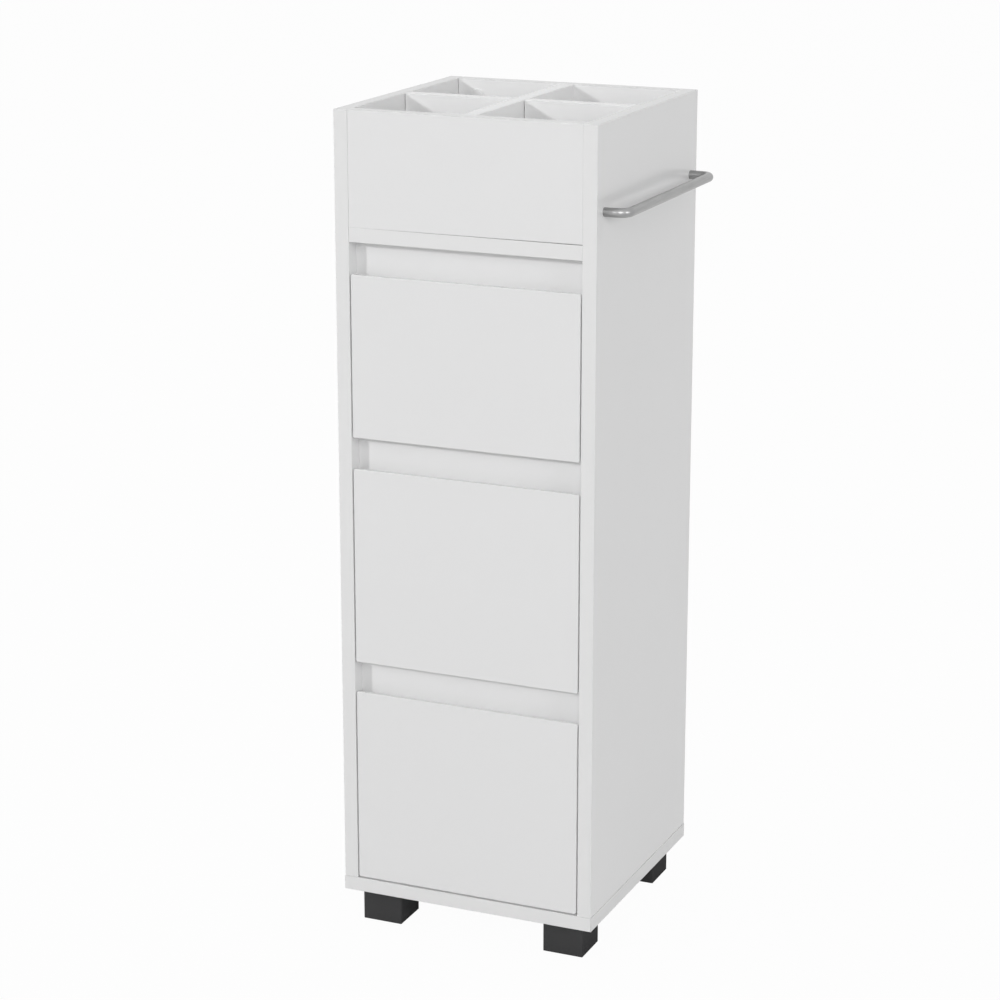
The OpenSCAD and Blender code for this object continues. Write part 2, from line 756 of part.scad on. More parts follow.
// Each screw through the left drawer member into the box side, +Z along the screw
module at_tread_screws(k) {
    for (y = runner_screw_y) translate([box_l - steel_t, y, track_z(k) + tread_screw_up])
        rotate([0, 90, 0]) children();
}

// A front: round corners, and a bevel behind its top edge that leaves a lip for the fingers
module drawer_front(k) {
    w = front_w;
    h = front_height(k);
    fall = board_t - lip_t;
    color("white") difference() {
        translate([inner_l + side_gap, front, front_z(k)]) run_y(board_t)
            round_rectangle(w, h, front_corner_r);
        translate([inner_l, front, front_top(k)]) rotate([90, 0, 90])
            linear_extrude(height = inner_w)
                polygon([[lip_t, 0], [board_t, -fall], [board_t + eps, -fall - eps],
                    [board_t + eps, eps], [lip_t - eps, eps]]);
        slab(
            [box_l + box_t - groove_d, front_back - groove_d, box_z(k) + bottom_up],
            [box_r - box_t + groove_d, front_back + eps, box_z(k) + bottom_up + groove_w]
        );
        both_sides() at_box_joints(k) bolt_bore();
    }
}

// A box side: grooved for the bottom, its lower outer edge eased for the runner's fold
module drawer_side(k, side) {
    ease = fold_r + 0.2;
    color("white") on_side(side) difference() {
        translate([box_l, front_back, box_z(k)]) run_y(box_d)
            polygon([
                [ease, 0], [box_t, 0], [box_t, bottom_up], [box_t - groove_d, bottom_up],
                [box_t - groove_d, bottom_up + groove_w], [box_t, bottom_up + groove_w],
                [box_t, box_h(k)], [0, box_h(k)], [0, ease]
            ]);
        at_box_joints(k) cam_bore(small_cam_d, drawer_cam_back, box_t);
        at_back_screws(k) wood_screw_hole(short_screw_d, box_t + eps, 2 * short_screw_d);
        at_tread_screws(k) translate([0, 0, steel_t])
            rod_z(short_screw_d + 2 * hole_fit, tread_screw_l - steel_t + hole_end);
    }
}

module drawer_back(k) {
    color("white") difference() {
        slab(
            [box_l + box_t, box_rear - box_t, box_z(k) + bottom_up + groove_fit + sheet_t],
            [box_r - box_t, box_rear, box_z(k) + box_h(k)]
        );
        both_sides() at_back_screws(k) rod_z(short_screw_d + 2 * hole_fit, back_screw_l + hole_end);
    }
}

module drawer_bottom(k) {
    reach = groove_d - groove_end;
    color("gainsboro")
        slab(
            [box_l + box_t - reach, front_back - reach, box_z(k) + bottom_up + groove_fit],
            [box_r - box_t + reach, box_rear, box_z(k) + bottom_up + groove_fit + sheet_t]
        );
}

// The drawer members on both box sides: the outer flange stops short of the roller at the rear
module drawer_runners(k) {
    notch = rear_roller_y - roller_r - 1.5;
    color("whitesmoke") both_sides() translate([inner_l, 0, track_z(k)]) {
        difference() {
            translate([0, front_back, 0]) run_y(box_d) tread_section();
            translate([0, notch, flange_up - fold_r])
                cube([runner_space - steel_t, box_rear - notch + eps, fold_r + steel_t + eps]);
            translate([-inner_l, 0, -track_z(k)]) at_tread_screws(k)
                wood_screw_hole(short_screw_d, steel_t, short_screw_d + 2 * steel_t);
            for (y = slot_y) translate([runner_space - steel_t, y, tread_screw_up]) fixing_slot();
        }
        translate([runner_space - steel_t, rear_roller_y, rear_roller_up]) mirror([1, 0, 0])
            roller_pin(runner_space - steel_t - roller_x - roller_w - play);
    }
}

module drawer_rollers(k) {
    color("ivory") both_sides()
        translate([inner_l + roller_x, rear_roller_y, track_z(k) + rear_roller_up]) roller();
}

module drawer_cams(k) {
    color("darkgray") both_sides() at_box_joints(k) {
        cam_lock(small_cam_d, drawer_cam_back, box_t);
        cam_bolt(small_cam_d, drawer_cam_back);
    }
}

module drawer_screws(k) {
    color("darkgray") both_sides() {
        at_back_screws(k) wood_screw(short_screw_d, back_screw_l, 2 * short_screw_d);
        at_tread_screws(k) wood_screw(short_screw_d, tread_screw_l, short_screw_d + 2 * steel_t);
    }
}

module drawer_top_front() { drawer_front(2); }
module drawer_top_side_left() { drawer_side(2, -1); }
module drawer_top_side_right() { drawer_side(2, 1); }
module drawer_top_back() { drawer_back(2); }
module drawer_top_bottom() { drawer_bottom(2); }
module drawer_top_runners() { drawer_runners(2); }
module drawer_top_rollers() { drawer_rollers(2); }
module drawer_top_cams() { drawer_cams(2); }
module drawer_top_screws() { drawer_screws(2); }
module drawer_middle_front() { drawer_front(1); }
module drawer_middle_side_left() { drawer_side(1, -1); }
module drawer_middle_side_right() { drawer_side(1, 1); }
module drawer_middle_back() { drawer_back(1); }
module drawer_middle_bottom() { drawer_bottom(1); }
module drawer_middle_runners() { drawer_runners(1); }
module drawer_middle_rollers() { drawer_rollers(1); }
module drawer_middle_cams() { drawer_cams(1); }
module drawer_middle_screws() { drawer_screws(1); }
module drawer_lower_front() { drawer_front(0); }
module drawer_lower_side_left() { drawer_side(0, -1); }
module drawer_lower_side_right() { drawer_side(0, 1); }
module drawer_lower_back() { drawer_back(0); }
module drawer_lower_bottom() { drawer_bottom(0); }
module drawer_lower_runners() { drawer_runners(0); }
module drawer_lower_rollers() { drawer_rollers(0); }
module drawer_lower_cams() { drawer_cams(0); }
module drawer_lower_screws() { drawer_screws(0); }
module side_panel_left() { side_panel(-1); }
module side_panel_right() { side_panel(1); }

side_panel_left();
side_panel_right();
base_panel();
tray_shelf();
tray_front();
tray_back();
divider_across();
divider_front_to_back();
back_panel();
grip_rail_top();
grip_rail_middle();
grip_rail_lower();
foot_front_left();
foot_front_right();
foot_rear_left();
foot_rear_right();
towel_rail();
towel_rail_screws();
foot_screws();
base_screws();
runner_screws();
cam_locks();
cam_bolts();
cam_caps();
dowels();
cabinet_runners_top();
cabinet_runners_middle();
cabinet_runners_lower();
cabinet_rollers_top();
cabinet_rollers_middle();
cabinet_rollers_lower();
drawer_top_front();
drawer_top_side_left();
drawer_top_side_right();
drawer_top_back();
drawer_top_bottom();
drawer_top_runners();
drawer_top_rollers();
drawer_top_cams();
drawer_top_screws();
drawer_middle_front();
drawer_middle_side_left();
drawer_middle_side_right();
drawer_middle_back();
drawer_middle_bottom();
drawer_middle_runners();
drawer_middle_rollers();
drawer_middle_cams();
drawer_middle_screws();
drawer_lower_front();
drawer_lower_side_left();
drawer_lower_side_right();
drawer_lower_back();
drawer_lower_bottom();
drawer_lower_runners();
drawer_lower_rollers();
drawer_lower_cams();
drawer_lower_screws();
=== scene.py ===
# %% [markdown]
# # Bathroom storage tower
# The real object is a flat-pack tower: white faced boards, held by cams and dowels, round three
# drawers, with an open tray on top, four black feet and a bent steel towel rail. Blender's part is
# everything the eye reads as real: edges that are eased and not knife sharp, thin edge bands, the
# sheen of each surface, and the light. We could repaint the CAD nodes and stop there, but their
# edges are perfectly sharp and catch no light. So each board in view is made again here at the
# size and place of its CAD node, which it then stands for.

# %% Load the frame
import math

import bmesh
import bpy
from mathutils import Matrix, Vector


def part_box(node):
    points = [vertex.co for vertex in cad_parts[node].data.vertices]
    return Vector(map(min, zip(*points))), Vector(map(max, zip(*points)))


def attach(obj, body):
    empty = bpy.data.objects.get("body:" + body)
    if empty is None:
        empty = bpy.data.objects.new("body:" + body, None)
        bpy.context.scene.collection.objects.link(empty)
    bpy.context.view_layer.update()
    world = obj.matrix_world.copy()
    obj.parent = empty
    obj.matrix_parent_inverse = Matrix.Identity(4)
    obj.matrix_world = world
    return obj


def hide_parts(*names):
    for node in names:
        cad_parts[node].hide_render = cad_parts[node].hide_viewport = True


MM = 0.001

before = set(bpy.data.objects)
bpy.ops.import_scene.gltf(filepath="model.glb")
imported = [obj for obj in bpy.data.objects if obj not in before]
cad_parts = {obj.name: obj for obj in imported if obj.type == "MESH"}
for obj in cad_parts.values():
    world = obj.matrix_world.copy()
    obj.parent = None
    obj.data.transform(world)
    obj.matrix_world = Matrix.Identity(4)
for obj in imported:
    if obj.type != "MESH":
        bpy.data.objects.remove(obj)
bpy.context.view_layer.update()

# %% [markdown]
# ## Working by selection
# Blender's modelling operators act on whatever is selected, just as they do under a hand on the
# mouse. In a script the hand is code: we pick edges and faces by where they lie or which way they
# point. The few helpers below are all that this takes. `only` makes one object the selected and
# active one. `pick` goes into edit mode and selects the edges or faces that pass a test, which may
# ask `direction` how an edge runs and `middle` where it lies. `settle` ends the work on an object:
# its place goes into its mesh.


# %% Helpers for selecting
def only(piece):
    """Makes this object the one that is selected and active."""
    if bpy.context.mode != "OBJECT":
        bpy.ops.object.mode_set(mode="OBJECT")
    bpy.ops.object.select_all(action="DESELECT")
    piece.select_set(True)
    bpy.context.view_layer.objects.active = piece


def pick(piece, kind, test):
    """Enters edit mode with the edges ("EDGE") or faces ("FACE") that pass the test selected."""
    only(piece)
    bpy.ops.object.mode_set(mode="EDIT")
    bpy.ops.mesh.select_mode(type=kind)
    bpy.ops.mesh.select_all(action="DESELECT")
    shape = bmesh.from_edit_mesh(piece.data)
    found = [part for part in (shape.edges if kind == "EDGE" else shape.faces) if test(part)]
    for part in found:
        part.select_set(True)
    bmesh.update_edit_mesh(piece.data)
    return len(found)


def direction(edge):
    """The way an edge runs, as a vector of length 1."""
    return (edge.verts[1].co - edge.verts[0].co).normalized()


def middle(edge):
    """The point halfway along an edge."""
    return (edge.verts[0].co + edge.verts[1].co) / 2


def settle(piece):
    """Puts the object's place, turn and scale into its mesh, so that the object sits at the origin."""
    only(piece)
    bpy.ops.object.transform_apply(location=True, rotation=True, scale=True)
    return piece


print("selection helpers are ready")

# %% [markdown]
# ## A block of the right size
# Every board without cuts starts as the cube primitive, added at the middle of its CAD node's box
# and scaled to its size. `transform_apply` then moves that place and scale into the mesh. A block is
# only the start: corners, bevels and edge bands come next.


# %% A block between two corners
def block(name, low, high):
    """A block that fills the box between two corners."""
    bpy.ops.object.select_all(action="DESELECT")
    bpy.ops.mesh.primitive_cube_add(size=1, location=(low + high) / 2, scale=high - low)
    piece = bpy.context.active_object
    piece.name = piece.data.name = name
    return settle(piece)


print("block() makes a start for each board")

# %% [markdown]
# ## Easing the edges
# Real boards have no sharp edges: the edge band is trimmed with a small radius, about half a
# millimetre. That radius is too small to see as a shape, and yet it is what draws the bright and
# dark hairlines round every board in the photograph. A Bevel modifier with an angle limit finds
# the sharp edges by itself, which is quicker and safer than picking them. `harden_normals` keeps
# the big faces flat while the narrow bevel is shaded round.


# %% Ease the sharp edges
def ease(piece, radius, segments=3, angle=30):
    """Rounds every edge that turns by more than angle degrees."""
    only(piece)
    bpy.ops.object.shade_smooth()
    bpy.ops.object.modifier_add(type="BEVEL")
    bevel = piece.modifiers[-1]
    bevel.width = radius
    bevel.segments = segments
    bevel.limit_method = "ANGLE"
    bevel.angle_limit = math.radians(angle)
    bevel.harden_normals = True
    bpy.ops.object.modifier_apply(modifier=bevel.name)


print("ease() rounds the sharp edges")

# %% [markdown]
# ## Writing shader maths as sums
# A finish is a small network of nodes. Added one by one they make long code that hides the idea,
# so small classes do the wiring. `Graph` is a network and has one method, `add`, which adds a node,
# sets it and joins its sockets. `Line` is one output of a node. Adding or multiplying a `Line` adds
# the Math node for it, so `0.2 + 0.05 * grain` reads as what it does.


# %% The classes for a network and its lines
class Line:
    """One output of a node. Sums on it add their Math nodes."""

    def __init__(self, graph, socket):
        self.graph, self.socket = graph, socket

    def beside(self, output):
        """Another output of the same node."""
        return Line(self.graph, self.socket.node.outputs[output])

    def __add__(self, other):
        return self.graph.math("ADD", self, other)

    def __radd__(self, other):
        return self.graph.math("ADD", other, self)

    def __mul__(self, other):
        return self.graph.math("MULTIPLY", self, other)

    def __rmul__(self, other):
        return self.graph.math("MULTIPLY", other, self)


class Graph:
    """A network of nodes, and the one way they are added to it."""

    def __init__(self, tree):
        self.tree = tree

    def add(self, kind, settings=None, inputs=None, output=0):
        """Adds a node: first its settings, then the values or lines of its inputs."""
        node = self.tree.nodes.new(kind)
        for key, value in (settings or {}).items():
            setattr(node, key, value)
        for key, value in (inputs or {}).items():
            self.join(value, node.inputs[key])
        return Line(self, node.outputs[output])

    def join(self, value, socket):
        """Links a line to a socket, or sets the socket to a value."""
        if isinstance(value, Line):
            self.tree.links.new(value.socket, socket)
        else:
            socket.default_value = value

    def math(self, operation, first, second=0.0):
        """A Math node. The operations on one number leave out the second."""
        return self.add("ShaderNodeMath", {"operation": operation}, {0: first, 1: second})


print("Line and Graph are ready")

# %% [markdown]
# A `Finish` is the network of a material, with the few patterns that this object's finishes share.
# All of them read Object coordinates. Every piece's object sits at the origin, so these are metres
# from the middle of the tower's base, and a size in a pattern is a real size. The Mix node has
# sockets for every kind of data under the same names, so the ones for colours are called by number.


# %% The class for finishes
class Finish(Graph):
    """A material on Blender's Principled shader."""

    def __init__(self, name, **constants):
        self.material = bpy.data.materials.new(name)
        self.material.use_nodes = True
        super().__init__(self.material.node_tree)
        self.shader = self.tree.nodes["Principled BSDF"]
        for socket, value in constants.items():
            self.shader.inputs[socket.replace("_", " ")].default_value = value

    def feed(self, **lines):
        """Joins lines to the shader, by its sockets' names."""
        for socket, line in lines.items():
            self.join(line, self.shader.inputs[socket.replace("_", " ")])

    def place(self, scale=(1, 1, 1)):
        """A point's place on the piece in metres, stretched if asked."""
        where = self.add("ShaderNodeTexCoord", output="Object")
        return self.add("ShaderNodeMapping", None, {"Vector": where, "Scale": scale})

    def noise(self, size, detail=2.0, stretch=(1, 1, 1)):
        """A cloudy pattern from 0 to 1, its lumps about size metres across."""
        return self.add(
            "ShaderNodeTexNoise",
            {"noise_dimensions": "3D"},
            {"Vector": self.place(stretch), "Scale": 1 / size, "Detail": detail},
        )

    def blend(self, first, second, share):
        """From the first colour to the second as share goes from 0 to 1."""
        colour_a, colour_b, colour_out = 6, 7, 2
        return self.add(
            "ShaderNodeMix",
            {"data_type": "RGBA"},
            {0: share, colour_a: (*first, 1), colour_b: (*second, 1)},
            output=colour_out,
        )

    def bump(self, height, depth):
        """Dents and swells depth metres high, from a height pattern from 0 to 1."""
        return self.add("ShaderNodeBump", None, {"Height": height, "Distance": depth, "Strength": 1.0})

    def dress(self, piece, slot=0):
        """Puts the finish on a piece's material slot."""
        while len(piece.material_slots) <= slot:
            piece.data.materials.append(None)
        piece.material_slots[slot].material = self.material


print("Finish is ready")

# %% [markdown]
# ## White faced board
# The carcass is chipboard faced with white melamine paper. Up close such a face isn't flat paint:
# the press plate leaves a fine pearl texture, its dents about half a millimetre across, and the
# sheen wanders a little. It is smooth enough to give a faint, soft reflection of the towel rail.
# A plain white would do from far off, but would look like paper near by. So noise at three sizes
# goes to the colour, the roughness and the bump. The finish is made twice, with two whites: the
# whiter copy, on the tray's dividers and its back, is painted light for the brighter light inside the
# tray.

# %% The face and the edge band of a board
PEARL = 0.6 * MM


def melamine(name, white):
    """The finish of a board's face, from a white to one just above it."""
    face = Finish(name, IOR=1.47, Specular_IOR_Level=0.3)
    whiter = (white + 0.02, white + 0.02, white + 0.022)
    face.feed(
        Base_Color=face.blend((white, white, white), whiter, face.noise(180 * MM, detail=3)),
        Roughness=0.17 + 0.07 * face.noise(30 * MM),
        Normal=face.bump(face.noise(PEARL), 0.005 * MM),
    )
    return face


board_face = melamine("white_board_face", 0.85)
# The second, whiter copy is painted light: the same melamine, brightened for the light inside the
# tray.
painted_light_tray_face = melamine("white_face_with_painted_light", 0.91)

edge_band = Finish("white_edge_band", IOR=1.47, Specular_IOR_Level=0.1)
edge_band.feed(
    Base_Color=edge_band.blend((0.85, 0.85, 0.85), (0.87, 0.87, 0.868), edge_band.noise(50 * MM)),
    Roughness=0.22 + 0.05 * edge_band.noise(30 * MM),
    Normal=edge_band.bump(edge_band.noise(PEARL), 0.002 * MM),
)
print("made", [finish.material.name for finish in (board_face, painted_light_tray_face, edge_band)])

# %% [markdown]
# ## Carcass boards
# A faced board shows two materials: the face, and the plastic band, under a millimetre thick, that
# is glued over each sawn edge. The line between them could be painted, but a real cut is simpler
# and stays sharp at any distance. `bisect` slices the mesh along the band's inner plane, and the
# faces beyond that plane get the second material.

# %% Cut the edge bands
BAND = 0.8 * MM
AXES = {"X": 0, "Y": 1, "Z": 2}


def facing(side):
    """The sign and the axis of a board's side, such as "-Y"."""
    return (1 if side[0] == "+" else -1), AXES[side[1]]


def band_edge(piece, side):
    """Cuts off the band on one side of a board and gives its faces the second slot."""
    sign, axis = facing(side)
    ends = [corner.co[axis] for corner in piece.data.vertices]
    plane = Vector((0, 0, 0))
    plane[axis] = (max(ends) if sign > 0 else min(ends)) - sign * BAND
    normal = Vector((0, 0, 0))
    normal[axis] = sign
    only(piece)
    bpy.ops.object.mode_set(mode="EDIT")
    bpy.ops.mesh.select_all(action="SELECT")
    bpy.ops.mesh.bisect(plane_co=plane, plane_no=normal)
    pick(piece, "FACE", lambda face: (face.calc_center_median()[axis] - plane[axis]) * sign > 0)
    piece.active_material_index = 1
    bpy.ops.object.material_slot_assign()
    bpy.ops.object.mode_set(mode="OBJECT")


def face_board(piece, bands, face):
    """Gives a board its two materials, the band's on the sides that are named."""
    face.dress(piece, 0)
    edge_band.dress(piece, 1)
    for side in bands:
        band_edge(piece, side)


print("bands are", BAND / MM, "mm thick")

# %% [markdown]
# Where two boards meet there is never a perfect fit. The photograph shows dark hairlines: one at the
# left end of the tray's front and of the shelf below it, one between those two that opens to the
# right, one under each side panel, and a stronger one at the left end of the tray's back. A hairline
# is a gap of a fifth to half a millimetre that light can't reach, so we draw that side of the block
# in by as much. For the one that opens, the front's lower edge is tilted.

# %% Make the carcass boards
BOARD_EASE = 0.45 * MM
HAIRLINE = 0.2 * MM
CLEAR_LINE = 0.45 * MM


def stand_for(piece, node, body):
    """Lets a piece take a CAD node's place on its body."""
    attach(piece, body)
    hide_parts(node)


def board(node, body, bands, radius=BOARD_EASE, seam=None, askew=0, face=board_face):
    """A plain board in a CAD node's place. A seam is a side and how far it is drawn in."""
    low, high = (corner.copy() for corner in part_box(node))
    if seam:
        side, gap = seam
        sign, axis = facing(side)
        (high if sign > 0 else low)[axis] -= sign * gap
    piece = block(node + "_board", low, high)
    if askew:
        pick(piece, "EDGE", lambda edge: middle(edge).x > high.x - MM and middle(edge).z < low.z + MM)
        bpy.ops.transform.translate(value=(0, 0, askew))
    face_board(piece, bands, face)
    ease(piece, radius)
    stand_for(piece, node, body)
    return piece


CARCASS = {
    "side_panel_left": ("-Y", "+Y", "+Z"),
    "side_panel_right": ("-Y", "+Y", "+Z"),
    "tray_shelf": ("-Y", "+Y"),
    "tray_front": ("+Z",),
    "tray_back": ("+Z",),
    "grip_rail_top": (),
    "grip_rail_middle": (),
    "grip_rail_lower": (),
}
SEAMS = {
    "side_panel_left": ("-Z", HAIRLINE),
    "side_panel_right": ("-Z", HAIRLINE),
    "tray_front": ("-X", HAIRLINE),
    "tray_shelf": ("-X", HAIRLINE),
    "tray_back": ("-X", CLEAR_LINE),
}
ASKEW = {"tray_front": 0.7 * MM}
for node, bands in CARCASS.items():
    # The tray's back gets the whiter copy, which is painted light.
    face = painted_light_tray_face if node == "tray_back" else board_face
    piece = board(node, "carcass", bands, seam=SEAMS.get(node), askew=ASKEW.get(node, 0), face=face)
print(len(CARCASS), "carcass boards, the last with", len(piece.data.polygons), "faces")

# %% [markdown]
# ## Boards with cuts in view
# The tray's dividers are halved over each other, the base panel is countersunk from below, and the
# drawers' sides are bored for cams and grooved for their bottoms. Those cuts are in view, and their
# places are already exact in the CAD mesh. Sawing them again would only risk a misfit, so these
# pieces start as a copy of the node's mesh. A CAD mesh is loose triangles: `remove_doubles` joins
# their corners, `dissolve_limited` turns the triangles of each flat face into one face, and then the
# long edges, picked by their length and sharpness, are bevelled. The short edges of the bores are
# left as the drill leaves them. Two trims follow the photograph: the across divider has wider gaps
# at its ends and its slot, and the base panel stands half a millimetre proud of the side panels.
# Smooth shading would now bend the light across each big face, towards the tilt of its bevels. The
# Weighted Normal modifier lets the larger face decide, so the flat faces stay flat.


# %% Helpers for boards with cuts
WELD = 0.002 * MM
FLAT = math.radians(0.5)
SQUARELY = 0.99


def merged_copy(node, name):
    """A copy of a CAD node's mesh, its triangles joined into faces."""
    piece = bpy.data.objects.new(name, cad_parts[node].data.copy())
    bpy.context.scene.collection.objects.link(piece)
    piece.data.materials.clear()
    only(piece)
    bpy.ops.object.mode_set(mode="EDIT")
    bpy.ops.mesh.select_all(action="SELECT")
    bpy.ops.mesh.remove_doubles(threshold=WELD)
    bpy.ops.mesh.dissolve_limited(angle_limit=FLAT)
    bpy.ops.object.mode_set(mode="OBJECT")
    return piece


def trim(piece, depth):
    """Takes depth off every face that looks left or right, or adds to it if depth is negative."""
    for sign in (-1, 1):
        pick(piece, "FACE", lambda face: face.normal.x * sign > SQUARELY)
        bpy.ops.transform.translate(value=(-sign * depth, 0, 0))
    bpy.ops.object.mode_set(mode="OBJECT")


print("merged_copy() and trim() are ready")

# %% Make the boards with cuts
CUT_EASE = 0.35 * MM
LONG_EDGE = 6 * MM
SHARP = math.radians(60)
SMOOTH = math.radians(50)


def cut_board(node, body, bands=(), radius=CUT_EASE, depth=0, face=board_face):
    """A board with cuts in a CAD node's place. Returns how many long edges were eased."""
    piece = merged_copy(node, node + "_board")
    if depth:
        trim(piece, depth)
    face_board(piece, bands, face)
    found = pick(
        piece,
        "EDGE",
        lambda edge: edge.is_manifold
        and edge.is_convex
        and edge.calc_length() > LONG_EDGE
        and edge.calc_face_angle() > SHARP,
    )
    bpy.ops.mesh.bevel(offset=radius, segments=2, clamp_overlap=False)
    bpy.ops.object.mode_set(mode="OBJECT")
    bpy.ops.object.shade_smooth_by_angle(angle=SMOOTH)
    bpy.ops.object.modifier_add(type="WEIGHTED_NORMAL")
    piece.modifiers[-1].keep_sharp = True
    bpy.ops.object.modifier_apply(modifier=piece.modifiers[-1].name)
    stand_for(piece, node, body)
    return found


GAP = 0.55 * MM
PROUD = 0.5 * MM
ALL_ROUND = ("-X", "+X", "-Y", "+Y")
# The two dividers get the whiter copy too, which is painted light.
found = cut_board("divider_across", "carcass", depth=GAP, face=painted_light_tray_face)
print("divider_across has", found, "long edges eased")
found = cut_board("divider_front_to_back", "carcass", face=painted_light_tray_face)
print("divider_front_to_back has", found, "long edges eased")
found = cut_board("base_panel", "carcass", ALL_ROUND, radius=BOARD_EASE, depth=-PROUD)
print("base_panel has", found, "long edges eased")

# %% [markdown]
# ## Drawer fronts
# The fronts are milled from fibreboard and lacquered, so they have no band, softer edges, and a
# smoother face. Behind the top edge a slope at 45 degrees leaves a thin lip for the fingers. We
# take the block, bevel its top rear edge by the depth of that slope in one segment, then round the
# four corners seen from in front, and last ease whatever is still sharp.

# %% The lacquer of the fronts
lacquer = Finish("white_lacquer", IOR=1.48, Specular_IOR_Level=0.25)
lacquer.feed(
    Base_Color=lacquer.blend((0.85, 0.85, 0.85), (0.865, 0.865, 0.867), lacquer.noise(250 * MM)),
    Roughness=0.15 + 0.06 * lacquer.noise(50 * MM),
    Normal=lacquer.bump(lacquer.noise(1.4 * MM), 0.004 * MM),
)
print("made", lacquer.material.name)

# %% Make the drawer fronts
LEVELS = ("top", "middle", "lower")
PARALLEL = 0.9
LIP = 5 * MM
CORNER = 2 * MM
FRONT_EASE = 0.9 * MM


def drawer_front(level):
    """The front of one drawer, with its finger lip and rounded corners."""
    node = f"drawer_{level}_front"
    low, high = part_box(node)
    piece = block(node + "_panel", low, high)
    slope = high.y - low.y - LIP
    pick(
        piece,
        "EDGE",
        lambda edge: abs(direction(edge).x) > PARALLEL
        and middle(edge).y > high.y - MM
        and middle(edge).z > high.z - MM,
    )
    bpy.ops.mesh.bevel(offset=slope, segments=1, clamp_overlap=False)
    pick(piece, "EDGE", lambda edge: abs(direction(edge).y) > PARALLEL)
    bpy.ops.mesh.bevel(offset=CORNER, segments=5, clamp_overlap=False)
    bpy.ops.object.mode_set(mode="OBJECT")
    ease(piece, FRONT_EASE)
    lacquer.dress(piece)
    stand_for(piece, node, f"drawer_{level}")
    return piece


for level in LEVELS:
    piece = drawer_front(level)
    print(piece.name, [round(s / MM, 1) for s in piece.dimensions], "mm")

# %% [markdown]
# ## Drawer boxes
# Behind each front is a plain box: two bored sides, a back between them, and a hardboard bottom in
# their grooves. They show when a drawer is open. The sides are cut boards, as above, and the back
# is a plain board with a banded top edge.

# %% Make the drawer boxes
for level in LEVELS:
    for side in ("left", "right"):
        cut_board(f"drawer_{level}_side_{side}", f"drawer_{level}")
    board(f"drawer_{level}_back", f"drawer_{level}", ("+Z",), radius=CUT_EASE)
print("made the sides and backs of", len(LEVELS), "drawer boxes")

# %% [markdown]
# ## Hardboard
# The back panel and the drawers' bottoms are 3 mm hardboard with a thin coat of white. The coat
# doesn't fill the board: its fibres still show as a mottle, and the wet side keeps the print
# of the wire mesh it was pressed on. Sine waves that cross make that mesh, one pair for the upright
# sheet and one for the flat ones. They only go to the bump, because the paint has one colour.

# %% The finish of the hardboard
MESH_PITCH = 1.6 * MM
hardboard = Finish("white_coated_hardboard", IOR=1.45)
where = hardboard.add("ShaderNodeSeparateXYZ", None, {0: hardboard.place()})
waves = [hardboard.math("SINE", where.beside(axis) * (2 * math.pi / MESH_PITCH)) for axis in "XYZ"]
wires = waves[0] * waves[2] + waves[0] * waves[1]
fibres = hardboard.noise(4 * MM, detail=6)
hardboard.feed(
    Base_Color=hardboard.blend((0.72, 0.72, 0.71), (0.78, 0.78, 0.772), fibres),
    Roughness=0.42 + 0.16 * hardboard.noise(2 * MM),
    Normal=hardboard.bump(0.5 + 0.2 * wires + 0.3 * fibres, 0.05 * MM),
)
print("made", hardboard.material.name)

# %% Make the hardboard sheets
SHEET_EASE = 0.3 * MM


def hardboard_sheet(node, body):
    """A sheet in a CAD node's place."""
    low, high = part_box(node)
    piece = block(node + "_sheet", low, high)
    hardboard.dress(piece)
    ease(piece, SHEET_EASE, segments=2)
    stand_for(piece, node, body)


hardboard_sheet("back_panel", "carcass")
for level in LEVELS:
    hardboard_sheet(f"drawer_{level}_bottom", f"drawer_{level}")
print("made 4 hardboard sheets")

# %% [markdown]
# ## Feet
# The feet are moulded shells of black plastic, with ribs and a screw boss inside. The CAD mesh has
# all of that, so a foot is a merged copy too. What a mould adds is a small radius on every edge and
# the fine grain that was etched into its steel: the first is a bevel, the second a bump. The grain
# breaks up whatever such a face would mirror, so the specular light is turned off.

# %% Make the feet
foot_plastic = Finish("black_foot_plastic", IOR=1.5, Specular_IOR_Level=0.0)
grain = foot_plastic.noise(0.9 * MM, detail=3)
foot_plastic.feed(
    Base_Color=foot_plastic.blend((0.045, 0.045, 0.046), (0.085, 0.085, 0.086), grain),
    Roughness=0.4 + 0.15 * foot_plastic.noise(6 * MM),
    Normal=foot_plastic.bump(grain, 0.04 * MM),
)
FOOT_EASE = 0.3 * MM
for corner in ("front_left", "front_right", "rear_left", "rear_right"):
    node = "foot_" + corner
    piece = merged_copy(node, node + "_shell")
    foot_plastic.dress(piece)
    ease(piece, FOOT_EASE, segments=2, angle=40)
    stand_for(piece, node, "carcass")
print("made 4 feet, each of", len(piece.data.polygons), "faces")

# %% [markdown]
# ## Towel rail
# The rail is one round steel bar bent square at both ends. A curve with a bevel could draw it, but
# the way a bar is bent suits `extrude` and `spin` better: start with a circle at the panel, pull it
# out to the first bend, spin it a quarter turn about the bend's centre, pull it along, spin again
# and pull it back to the panel. The bar was drawn through a die, which leaves faint streaks along
# it. They are noise again, stretched twenty times along X and Y, the two ways in which the bar runs.

# %% The finish of the bar
ALONG_BAR = (0.05, 0.05, 1)
steel = Finish("satin_bar_steel", Metallic=1.0)
drawn = steel.noise(1.6 * MM, detail=3, stretch=ALONG_BAR)
steel.feed(
    Base_Color=steel.blend((0.24, 0.24, 0.24), (0.44, 0.44, 0.44), drawn),
    Roughness=0.27 + 0.12 * drawn,
    Normal=steel.bump(drawn, 0.01 * MM),
)
print("made", steel.material.name)

# %% Make the towel rail
BAR = 10 * MM
BEND = 11 * MM
BAR_SIDES = 48
BEND_STEPS = 16
JOIN = 0.01 * MM
SMOOTH_BAR = math.radians(40)
low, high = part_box("towel_rail")
wall, out = low.x, high.x - BAR / 2
near, far = low.y + BAR / 2, high.y - BAR / 2
height = (low.z + high.z) / 2

